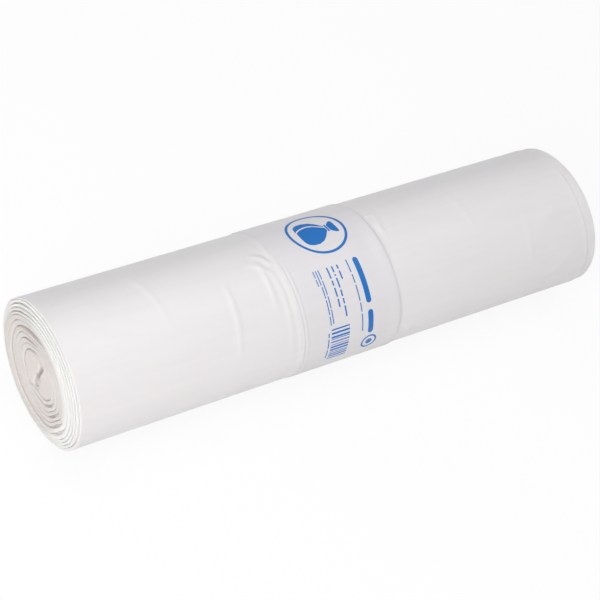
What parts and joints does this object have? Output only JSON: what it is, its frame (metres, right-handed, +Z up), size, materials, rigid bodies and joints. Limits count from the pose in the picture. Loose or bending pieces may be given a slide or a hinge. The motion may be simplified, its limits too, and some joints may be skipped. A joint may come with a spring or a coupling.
{
  "type": "bin bag roll",
  "caption": "Coreless roll of folded white bin bags, wound into a settled oval, with a printed film label band round its middle.",
  "frame": {"origin": "under the middle of the roll, on the surface that it lies on", "axes": "+X along the roll towards the end where the outermost turn stops short, +Y towards the side with the bags' free edge, +Z up"},
  "size_m": [0.2874, 0.074, 0.0631],
  "materials": {
    "bag_film": "milky white polyethylene film, soft gloss",
    "band_film": "thin clear-white film with blue print"
  },
  "bodies": {
    "root": {"bag_roll": "bag_film", "label_band": "band_film"}
  },
  "joints": []
}
